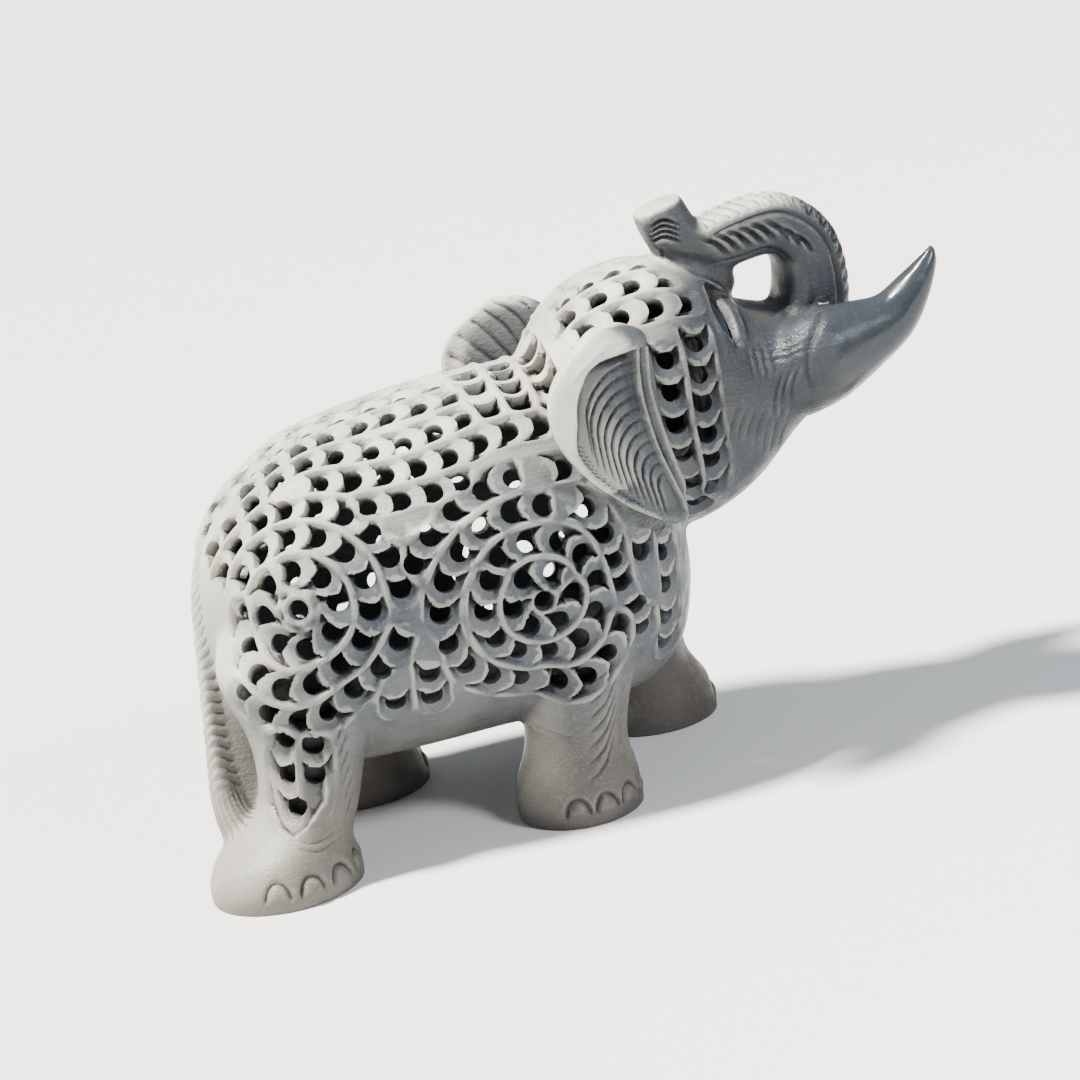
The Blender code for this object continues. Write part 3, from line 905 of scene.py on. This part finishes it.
def tailRelief(points):
    along, side, front, _ = pathPlace(points, tail["stations"])
    reach = np.hypot(side, front) / (tail["thick"] / 2)
    on = (along > tail["carvedFrom"]) & (reach < tail["near"])
    rope = smoothStep(points[:, 2], tail["tuftTop"] - 2, tail["tuftTop"] + 2)
    slanted = along + tail["grooveSlant"] * abs(side)
    grooves = tail["grooveDepth"] * pulse(slanted / tail["grooveStep"], 1.4) * rope
    hairs = tail["hairDepth"] * pulse(np.arctan2(side, front) * 2.6, 1.5) * (1 - rope)
    return np.where(on, grooves + hairs - tail["swell"], 0)


toenails = {
    "turns": (104, 76, 48, 20, -8),     # degrees off the way ahead, towards the outer side
    "halfWide": 3.6,
    "base": 3.0,
    "high": 5.2,
    "rise": 0.45,
    "cut": 0.9,
    "within": (9, 26),      # off the foot's middle
    "below": 16,
}


def footRelief(points, foot, side):
    x, y = foot[-2][:2]
    dx = points[:, 0] - x
    dy = (points[:, 1] - y) * side
    turn = np.degrees(np.arctan2(dy, dx))
    radius = np.hypot(dx, dy)
    near, far = toenails["within"]
    on = (points[:, 2] < toenails["below"]) & (radius < far) & (radius > near)
    cutIn = np.zeros(len(points))
    for nail in toenails["turns"]:
        gap = (turn - nail + 180) % 360 - 180
        wide = radians(1) * gap * radius / toenails["halfWide"]
        tall = (points[:, 2] - toenails["base"]) / toenails["high"]
        shape = np.sqrt(wide ** 2 + np.maximum(tall, 0) ** 2)
        upper = smoothStep(tall, -0.15, 0.35)
        cutIn += toenails["cut"] * ridge(shape - 1.0, 0.17) * upper
        cutIn -= toenails["rise"] * (1 - smoothStep(shape, 0.35, 0.9)) * upper
    return np.where(on, cutIn, 0)


def eyeRelief(points, outs, side):
    # a long almond eye that slants, a dark slit in it and a brow ridge before it
    x, z = head["eye"]
    slant = radians(head["eyeSlant"])
    offX, offZ = points[:, 0] - x, points[:, 2] - z
    along = offX * sin(slant) - offZ * cos(slant)
    across = offX * cos(slant) + offZ * sin(slant)
    near = (np.hypot(along, across) < head["eyeReach"]) & (points[:, 1] * side > 8) \
        & (outs[:, 1] * side > 0.1)
    long, wide = head["eyeLong"] / 2, head["eyeHigh"] / 2
    lid = wide * np.clip(1 - (along / long) ** 2, 0, 1)
    socket = head["eyeDeep"] * (1 - smoothStep(abs(across) - lid, -0.5, 0.3)) * (abs(along) < long)
    lengthwise = (along / (0.75 * long)) ** 2
    crosswise = ((across + 0.4) / (0.7 * wide)) ** 2
    ball = head["ballRise"] * np.sqrt(np.clip(1 - lengthwise - crosswise, 0, 1))
    slitLine = [(-0.7 * long, 1.0), (0, 1.9), (0.85 * long, 0.7)]
    slit = head["slitDeep"] * engraved(along, across, [slitLine], 0.6)
    corner = head["cornerDeep"] * ridge(np.hypot(along - long, across - 0.2), 1.0)
    browLine = [(-long - 2, -0.6), (-0.5 * long, wide + 0.9), (0.2 * long, wide + 1.6), (long, wide + 0.6)]
    brow = head["browRise"] * engraved(along, across, [browLine], 0.9)
    underLine = [(-long, -0.8), (-0.3 * long, -wide - 0.8), (0.7 * long, -wide - 0.2)]
    under = head["underRise"] * engraved(along, across, [underLine], 0.6)
    return np.where(near, socket - ball + slit + corner - brow - under, 0)


def prism(tools, cell):
    # the drilled hole, with the rounded tip of the scale before it standing into it
    out, way = cell["out"], cell["way"]
    sideways = out.cross(way)
    ring = bmesh.ops.create_circle(tools, cap_ends=True, segments=scales["sides"], radius=cell["hole"])
    verts = ring["verts"]
    for vert in verts:
        along, across = vert.co.x, vert.co.y
        if "run" in cell:       # a spiral's eye has no scale before it
            along = max(along, -0.3 - scales["tipBack"] - scales["tipRound"] * across ** 2)
        vert.co = cell["place"] + way * along + sideways * across + out * scales["drillFrom"]
    cap = {face for vert in verts for face in vert.link_faces}
    grown = bmesh.ops.extrude_face_region(tools, geom=list(cap))
    deep = [part for part in grown["geom"] if isinstance(part, bmesh.types.BMVert)]
    bmesh.ops.translate(tools, verts=deep, vec=out * -(scales["drillFrom"] + cell["deep"]))
    middle = sum((vert.co for vert in deep), Vector()) / len(deep)
    bmesh.ops.scale(tools, verts=deep, vec=Vector((1, 1, 1)) * scales["flare"],
                    space=Matrix.Translation(-middle))


def drillHoles(stone, cells):
    # cutters that stand close go in different passes
    passes = []
    for cell in cells:
        for group in passes:
            if all((cell["place"] - other["place"]).length > scales["drillGap"] for other in group):
                group.append(cell)
                break
        else:
            passes.append([cell])
    for group in passes:
        tools = bmesh.new()
        for cell in group:
            prism(tools, cell)
        bmesh.ops.recalc_face_normals(tools, faces=tools.faces)
        cut(stone, makeObject("drills", tools))
    print("drilled", len(cells), "holes in", len(passes), "passes")


def eyeCells(surface, side):
    cells = []
    for name in ("rump", "shoulder"):       # the rump's eye sits in a whirl of petals
        x, y, z = spirals[name]["eye"]
        origin, way = walked((x, -y * side, z), 0, 0)
        hit, _, _, _ = surface.ray_cast(origin, way)
        cells.append({"place": hit, "out": way, "way": way.orthogonal().normalized(),
                      "hole": spirals["eyeHole"], "deep": scales["drillPast"]})
    return cells


def readPoints(mesh):
    points = np.empty(len(mesh.vertices) * 3, dtype=np.float32)
    mesh.vertices.foreach_get("co", points)
    return points.reshape(-1, 3).astype(float)


def readNormals(mesh):
    normals = np.empty(len(mesh.vertices) * 3, dtype=np.float32)
    mesh.vertices.foreach_get("normal", normals)
    return normals.reshape(-1, 3).astype(float)


def writePoints(mesh, points):
    mesh.vertices.foreach_set("co", points.astype(np.float32).ravel())
    mesh.update()


def convexity(mesh, points, normals, passes):
    # how far each point stands out from the mean of its neighbours, a few times over
    edges = np.empty(len(mesh.edges) * 2, dtype=np.int32)
    mesh.edges.foreach_get("vertices", edges)
    a, b = edges.reshape(-1, 2).T
    count = np.bincount(a, minlength=len(points)) + np.bincount(b, minlength=len(points))
    mean = points.copy()
    for _ in range(passes):
        total = np.stack([np.bincount(a, mean[b, i], len(points)) + np.bincount(b, mean[a, i], len(points))
                          for i in range(3)], 1)
        mean = total / count[:, None]
    return ((points - mean) * normals).sum(1)


def carve(stone):
    # sinks and raises the points of the finely divided form, and keeps how far for the finish
    surface = surfaceOf(stone)
    mesh = stone.data
    points = readPoints(mesh)
    outs = readNormals(mesh)
    sunk = np.zeros(len(points))
    slide = np.zeros((len(points), 3))
    cells = []
    for side in (-1, 1):
        rows = allRows(surface, side)
        placeCells(rows, side)
        eyes = eyeCells(surface, side)
        half = np.nonzero(points[:, 1] * side > body["seam"])[0]
        dropped, drawn = scaleRelief(points[half], outs[half], rows, list(zip(eyes, (True, False))))
        sunk[half] += dropped
        slide[half] += drawn
        cells += [cell for row in rows for cell in row["cells"] if not cell["blind"]] + eyes
        for relief in (eyeRelief, strokeRelief, panelRelief):
            sunk[half] += relief(points[half], outs[half], side)
        print("scales laid on side", side)
    inEars = earRelief(points, rightEar(), -1) + earRelief(points, leftEar(), 1)
    sunk += inEars
    onTrunk = np.nonzero((points[:, 0] > trunk["startX"]) & (points[:, 2] > trunk["startZ"]))[0]
    sunk[onTrunk] += trunkRelief(points[onTrunk])
    onTail = np.nonzero(points[:, 0] < tail["endX"])[0]
    sunk[onTail] += tailRelief(points[onTail])
    for name, foot in legs.items():
        sunk += footRelief(points, foot, -1 if name.startswith("right") else 1)
    points += slide - outs * sunk[:, None]
    writePoints(mesh, points)
    return points, sunk, np.clip(inEars / ears["recess"], 0, 1), cells


def intoBox(thing):
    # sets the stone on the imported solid's middle, and draws any part past its box in
    low, high = (np.array(corner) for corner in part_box("stone_elephant"))
    points = readPoints(thing.data) * mm
    middle = (points.min(0) + points.max(0)) / 2
    shift = (low + high) / 2 - middle
    shift[2] = 0
    points += shift
    reach, margin = grain["boxReach"], grain["boxMargin"]
    for axis in range(3):
        over = points[:, axis].max() - (high[axis] - margin)
        if over > 0:
            share = np.clip((points[:, axis] - points[:, axis].max() + reach) / reach, 0, 1)
            points[:, axis] -= over * share ** 2
        under = (low[axis] + margin) - points[:, axis].min()
        if under > 0 and axis < 2:
            share = np.clip((points[:, axis].min() + reach - points[:, axis]) / reach, 0, 1)
            points[:, axis] += under * share ** 2
    writePoints(thing.data, points)
    print("set on the solid, moved by mm", [round(float(c) * 1000, 2) for c in shift])


def keepFinishValues(thing, finePoints, values):
    # each kept point takes its finish values from the nearest point of the fine form
    tree = KDTree(len(finePoints))
    for i, place in enumerate(finePoints):
        tree.insert(place, i)
    tree.balance()
    found = [tree.find(vert.co) for vert in thing.data.vertices]
    near = np.array([index for _, index, _ in found])
    far = np.array([distance for _, _, distance in found])
    for name, (fine, inner) in values.items():
        layer = thing.data.attributes.new(name, "FLOAT", "POINT")
        kept = np.where(far > grain["inner"], inner, fine[near])
        layer.data.foreach_set("value", kept.astype(np.float32))


def finishValues(stone, outward, fine, sunk, dish):
    # for each point of the fine form, and for the inside: how deep it is cut, how far it stands out
    # from the points round it, and whether it is polished, in an ear's dish, or pale with patina and painted
    # sunlight
    bulge = convexity(stone.data, fine, readNormals(stone.data), grain["bulgePasses"])
    polish = smoothStep(fine[:, 0], *tusks["polished"]) * (abs(fine[:, 1]) > tusks["polishedOut"]) \
        * (fine[:, 2] < tusks["polishedBelow"])
    # pale where the surface faces the key light: patina and painted sunlight; the ears' rims get painted
    # sunlight too
    upper = smoothStep(outward @ np.array(finish["sunlitPatinaWay"]), *finish["sunlitPatinaFacing"])
    earRims = smoothStep(abs(fine[:, 1]), *ears["rimOut"]) * (fine[:, 2] > ears["rimAbove"])
    upper = np.maximum(upper, ears["rimSunlit"] * earRims)
    return {"carvedDepth": (sunk, grain["innerShadeDepth"]), "bulge": (bulge, 0), "polish": (polish, 0),
            "earDish": (dish, 0), "upper": (upper, 0)}


def makeStone():
    stone = makeObject("carvedElephant", outerForm())
    fuse(stone, grain["voxel"], grain["softening"])
    finer = stone.modifiers.new("finer", "SUBSURF")
    finer.levels = 1
    finer.render_levels = 1
    settle(stone)
    print("form fused,", len(stone.data.vertices), "points")
    outward = readNormals(stone.data)
    fine, sunk, dish, cells = carve(stone)
    print("relief carved")
    values = finishValues(stone, outward, fine, sunk, dish)
    thin(stone, grain["outerFaces"])
    print("thinned to", len(stone.data.polygons), "faces")
    hollow = makeObject("hollow", hollowForm())
    fuse(hollow, grain["hollowVoxel"], grain["hollowSoftening"])
    cut(stone, hollow)
    drillHoles(stone, cells)
    ground = bmesh.new()
    bmesh.ops.create_cube(ground, size=grain["ground"],
                          matrix=Matrix.Translation((0, 0, -grain["ground"] / 2)))
    cut(stone, makeObject("ground", ground))
    thin(stone, grain["finalFaces"])
    dropChips(stone)
    keepFinishValues(stone, fine, values)
    intoBox(stone)
    return stone


# The finish
finish = {
    "light": (0.22, 0.22, 0.20, 1),
    "body": (0.086, 0.092, 0.096, 1),
    "cool": (0.046, 0.055, 0.066, 1),
    "brown": (0.086, 0.063, 0.041, 1),
    # painted shade: near black, laid in the deep cuts, in the creases and over the hollow's inside
    "paintedShade": (0.007, 0.007, 0.008, 1),
    "worn": (0.30, 0.30, 0.27, 1),
    # tone of the tops: partly pale patina, partly painted sunlight where the key light falls
    "sunlitPatina": (0.62, 0.60, 0.52, 1),
    "sunlitPatinaWay": (-0.52, -0.10, 0.85),      # the way that the pale upper parts face, towards the key light: patina and painted sunlight
    # painted sunlight: the lighter tone of the rear end, where the key light falls
    "rump": (0.27, 0.265, 0.225, 1),
    # painted shade: the dark tone of the head, which is turned from the key light, and of the ears' dishes
    "face": (0.013, 0.017, 0.022, 1),
    "sunlitPatinaFacing": (0.3, 0.9),
    "roughLow": 0.32,
    "roughHigh": 0.60,
    "roughPolish": 0.22,
    "specular": 0.25,
    "grit": 0.5,
    "bump": 0.35,
    "bumpHeight": 0.0006,
    "faceX": (0.015, 0.055),        # metres, from where a tone is absent to where it is full
    "rumpX": (-0.055, -0.105),
    "footZ": (0.052, 0.012),
    "browZ": (0.141, 0.129),
    "browX": (0.034, 0.052),
    "dust": 0.22,
    "dustOffFace": 0.16,
    "patches": (0.65, 0.35),        # the least of the patina and painted sunlight on the tops, and what the clouds add
    "sunlitPatinaOffFeet": 0.65,
    "wornOffFace": 0.55,
    "hollowed": (1.5, 3.0),         # millimetres cut in, over which the painted shade comes in
    "creased": (-0.03, -0.22),      # bulge, over which the painted shade comes in
    "edged": (0.05, 0.30),
}


def link(tree, a, b):
    tree.links.new(a, b)


def newGroup(name, inputs, outputs):
    group = bpy.data.node_groups.new(name, "ShaderNodeTree")
    for label, kind, value in inputs:
        socket = group.interface.new_socket(label, in_out="INPUT", socket_type=kind)
        socket.default_value = value
    for label in outputs:
        group.interface.new_socket(label, in_out="OUTPUT", socket_type="NodeSocketFloat")
    return group, group.nodes.new("NodeGroupInput"), group.nodes.new("NodeGroupOutput")


def useGroup(tree, group, vector):
    node = tree.nodes.new("ShaderNodeGroup")
    node.node_tree = group
    link(tree, vector, node.inputs["Vector"])
    return node


def noise(tree, vector, scale, detail, roughness=0.55):
    node = tree.nodes.new("ShaderNodeTexNoise")
    node.inputs["Scale"].default_value = scale
    node.inputs["Detail"].default_value = detail
    node.inputs["Roughness"].default_value = roughness
    link(tree, vector, node.inputs["Vector"])
    return node.outputs["Fac"]


def ramp(tree, value, low, high):
    node = tree.nodes.new("ShaderNodeMapRange")
    node.inputs["From Min"].default_value = low
    node.inputs["From Max"].default_value = high
    node.interpolation_type = "SMOOTHSTEP"
    link(tree, value, node.inputs["Value"])
    return node.outputs["Result"]


def reckon(tree, operation, a, b):
    node = tree.nodes.new("ShaderNodeMath")
    node.operation = operation
    for socket, value in zip(node.inputs, (a, b)):
        if isinstance(value, (int, float)):
            socket.default_value = value
        else:
            link(tree, value, socket)
    return node.outputs["Value"]


def times(tree, a, b):
    return reckon(tree, "MULTIPLY", a, b)


def lessOf(tree, whole, value, share):
    # the whole less a share of the value
    return reckon(tree, "SUBTRACT", whole, times(tree, value, share))


def mix(tree, share, a, b):
    node = tree.nodes.new("ShaderNodeMix")
    node.data_type = "RGBA"
    for label, value in (("Factor", share), ("A", a), ("B", b)):
        socket = [s for s in node.inputs if s.name == label and s.enabled][0]
        if isinstance(value, (int, float, tuple)):
            socket.default_value = value
        else:
            link(tree, value, socket)
    return [s for s in node.outputs if s.enabled][0]


def soapstoneCloud():
    # cloudy mineral patches in the stone
    group, start, end = newGroup("soapstoneCloud",
                                 [("Vector", "NodeSocketVector", (0, 0, 0)),
                                  ("Patch Size", "NodeSocketFloat", 1.0)],
                                 ["Cloud", "Speckle", "Brown"])
    scaled = group.nodes.new("ShaderNodeVectorMath")
    scaled.operation = "SCALE"
    link(group, start.outputs["Vector"], scaled.inputs[0])
    link(group, start.outputs["Patch Size"], scaled.inputs["Scale"])
    for label, scale, detail, roughness, low, high in (
            ("Cloud", 38, 6, 0.6, 0.36, 0.66), ("Speckle", 900, 3, 0.7, 0.52, 0.72),
            ("Brown", 21, 4, 0.6, 0.50, 0.72)):
        patches = noise(group, scaled.outputs["Vector"], scale, detail, roughness)
        link(group, ramp(group, patches, low, high), end.inputs[label])
    return group


def toolMarks():
    # fine parallel scratches of file and sandpaper, in two directions
    group, start, end = newGroup("toolMarks",
                                 [("Vector", "NodeSocketVector", (0, 0, 0)),
                                  ("Amount", "NodeSocketFloat", 1.0)],
                                 ["Height"])
    scratches = []
    for turn, stretch in (((0.3, 0.9, 0.2), (90, 1400, 1100)), ((0.1, -0.5, 1.1), (1200, 140, 1600))):
        mapping = group.nodes.new("ShaderNodeMapping")
        mapping.inputs["Rotation"].default_value = turn
        mapping.inputs["Scale"].default_value = stretch
        link(group, start.outputs["Vector"], mapping.inputs["Vector"])
        scratches.append(noise(group, mapping.outputs["Vector"], 1, 2, 0.5))
    link(group, times(group, reckon(group, "ADD", *scratches), start.outputs["Amount"]),
         end.inputs["Height"])
    return group


def attribute(tree, name):
    node = tree.nodes.new("ShaderNodeAttribute")
    node.attribute_name = name
    return node.outputs["Fac"]


def newMaterial(name):
    material = bpy.data.materials.new(name)
    material.use_nodes = True
    return material, material.node_tree.nodes["Principled BSDF"]


def soapstone():
    material, shader = newMaterial("greySoapstone")
    tree = material.node_tree
    place = tree.nodes.new("ShaderNodeTexCoord").outputs["Object"]
    cloud = useGroup(tree, soapstoneCloud(), place)
    marks = useGroup(tree, toolMarks(), place)
    axes = tree.nodes.new("ShaderNodeSeparateXYZ")
    link(tree, place, axes.inputs["Vector"])
    bulge = attribute(tree, "bulge")
    polish = attribute(tree, "polish")
    atFace, atRump = (ramp(tree, axes.outputs["X"], *finish[name]) for name in ("faceX", "rumpX"))
    low = ramp(tree, axes.outputs["Z"], *finish["footZ"])
    brown = reckon(tree, "MAXIMUM", times(tree, cloud.outputs["Brown"], 0.4), times(tree, low, 0.5))
    dusted = lessOf(tree, finish["dust"], atFace, finish["dustOffFace"])
    least, added = finish["patches"]
    # pale tops facing the key light, patina and painted sunlight, less under the brow, on the tusks and on
    # the feet
    sunlitPatinaShare = reckon(tree, "ADD", times(tree, cloud.outputs["Cloud"], added), least)
    sunlitPatinaShare = times(tree, sunlitPatinaShare, attribute(tree, "upper"))
    belowBrow = times(tree, ramp(tree, axes.outputs["Z"], *finish["browZ"]),
                      ramp(tree, axes.outputs["X"], *finish["browX"]))
    sunlitPatinaShare = times(tree, sunlitPatinaShare, reckon(tree, "SUBTRACT", 1.0, reckon(tree, "MAXIMUM", belowBrow, polish)))
    sunlitPatinaShare = times(tree, sunlitPatinaShare, lessOf(tree, 1.0, low, finish["sunlitPatinaOffFeet"]))
    worn = times(tree, ramp(tree, bulge, *finish["edged"]), lessOf(tree, 1.0, atFace, finish["wornOffFace"]))
    colour = mix(tree, cloud.outputs["Cloud"], finish["cool"], finish["body"])
    # each tone lies over those before it: where, how strong, and which
    for where, strength, tone in (
            # painted shade over the head, and painted sunlight over the rear end
            (atFace, 0.8, "face"), (atRump, 0.45, "rump"), (brown, 1, "brown"),
            # patina and painted sunlight on the tops
            (cloud.outputs["Speckle"], dusted, "light"), (sunlitPatinaShare, 0.92, "sunlitPatina"),
            # painted shade in the deep cuts and over the hollow's inside, then in the creases
            (ramp(tree, attribute(tree, "carvedDepth"), *finish["hollowed"]), 0.7, "paintedShade"),
            (ramp(tree, bulge, *finish["creased"]), 0.72, "paintedShade"),
            # painted shade in the ears' dishes under their folded tops
            (attribute(tree, "earDish"), 0.7, "face"), (worn, 0.55, "worn")):
        colour = mix(tree, times(tree, where, strength), colour, finish[tone])
    link(tree, colour, shader.inputs["Base Color"])
    rough = ramp(tree, noise(tree, place, 160, 4), 0.3, 0.7)
    rough = reckon(tree, "ADD", times(tree, rough, finish["roughHigh"] - finish["roughLow"]),
                   finish["roughLow"])
    link(tree, lessOf(tree, rough, polish, finish["roughPolish"]), shader.inputs["Roughness"])
    bump = tree.nodes.new("ShaderNodeBump")
    bump.inputs["Strength"].default_value = finish["bump"]
    bump.inputs["Distance"].default_value = finish["bumpHeight"]
    grit = noise(tree, place, 1500, 3, 0.65)
    height = reckon(tree, "ADD", times(tree, grit, finish["grit"]), marks.outputs["Height"])
    link(tree, times(tree, height, lessOf(tree, 1.0, polish, 0.9)), bump.inputs["Height"])
    link(tree, bump.outputs["Normal"], shader.inputs["Normal"])
    shader.inputs["Specular IOR Level"].default_value = finish["specular"]
    return material


# Floor, light and camera, in metres and degrees
studio = {
    "floor": (0.74, 0.735, 0.72, 1),
    "floorSize": 30.0,
    "camera": (-0.1497, -0.8288, 0.3123),
    "azimuth": -10,
    "elevation": 16,
    "roll": 10,
    "lens": 103.1,
    "sensor": 36,
    "floorDrop": 0.0002,
    "floorRough": 0.75,
    "sky": (0.82, 0.90, 1.0, 1),
    "skyPower": 0.34,
    "keyPower": 17.5,
    "keyAngle": 8,
    "keyColour": (1.0, 0.965, 0.90),
    "keyWay": (0.52, -0.05, -1.0),
    "glintPower": 12,
    "glintColour": (0.9, 0.95, 1.0),
    "glintPlace": (0.55, -0.75, 0.75),
    "glintAim": (0, 0, 0.08),
    "glintSize": 0.25,
}


def makeFloor():
    form = bmesh.new()
    bmesh.ops.create_grid(form, x_segments=1, y_segments=1, size=studio["floorSize"] / 2,
                          matrix=Matrix.Translation((0, 0, -studio["floorDrop"])))
    floor = makeObject("studioFloor", form)
    material, shader = newMaterial("paleFloor")
    shader.inputs["Base Color"].default_value = studio["floor"]
    shader.inputs["Roughness"].default_value = studio["floorRough"]
    floor.data.materials.append(material)


def addLamp(name, kind, way):
    data = bpy.data.lights.new(name, kind)
    data.energy = studio[name + "Power"]
    data.color = studio[name + "Colour"]
    lamp = bpy.data.objects.new(name, data)
    lamp.rotation_euler = way.to_track_quat("-Z", "Y").to_euler()
    bpy.context.scene.collection.objects.link(lamp)
    return lamp


def makeLights():
    world = bpy.data.worlds.new("softRoom")
    bpy.context.scene.world = world
    world.use_nodes = True
    sky = world.node_tree.nodes["Background"]
    sky.inputs["Color"].default_value = studio["sky"]
    sky.inputs["Strength"].default_value = studio["skyPower"]
    key = addLamp("key", "SUN", Vector(studio["keyWay"]))
    key.data.angle = radians(studio["keyAngle"])
    place = Vector(studio["glintPlace"])
    glint = addLamp("glint", "AREA", Vector(studio["glintAim"]) - place)
    glint.location = place
    glint.data.shape = "DISK"
    glint.data.size = studio["glintSize"]


def makeCamera():
    azimuth, elevation, roll = (radians(studio[k]) for k in ("azimuth", "elevation", "roll"))
    right = Vector((cos(azimuth), sin(azimuth), 0))
    up = Vector((-sin(azimuth) * sin(elevation), cos(azimuth) * sin(elevation), cos(elevation)))
    back = right.cross(up)
    rolled = right * cos(roll) - up * sin(roll)
    risen = right * sin(roll) + up * cos(roll)
    data = bpy.data.cameras.new("photoCamera")
    data.lens = studio["lens"]
    data.sensor_width = studio["sensor"]
    camera = bpy.data.objects.new("photoCamera", data)
    turn = Matrix((rolled, risen, back)).transposed().to_4x4()
    camera.matrix_world = Matrix.Translation(studio["camera"]) @ turn
    bpy.context.scene.collection.objects.link(camera)
    bpy.context.scene.camera = camera


stone = makeStone()
stone.data.materials.clear()
stone.data.materials.append(soapstone())
stone.data.shade_smooth()
stone.data.set_sharp_from_angle(angle=radians(grain["sharp"]))
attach(stone, "root")
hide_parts("stone_elephant")
print("stone finished,", triangleCount(stone), "triangles")

makeFloor()
makeLights()
makeCamera()
print("floor, lights and camera set")
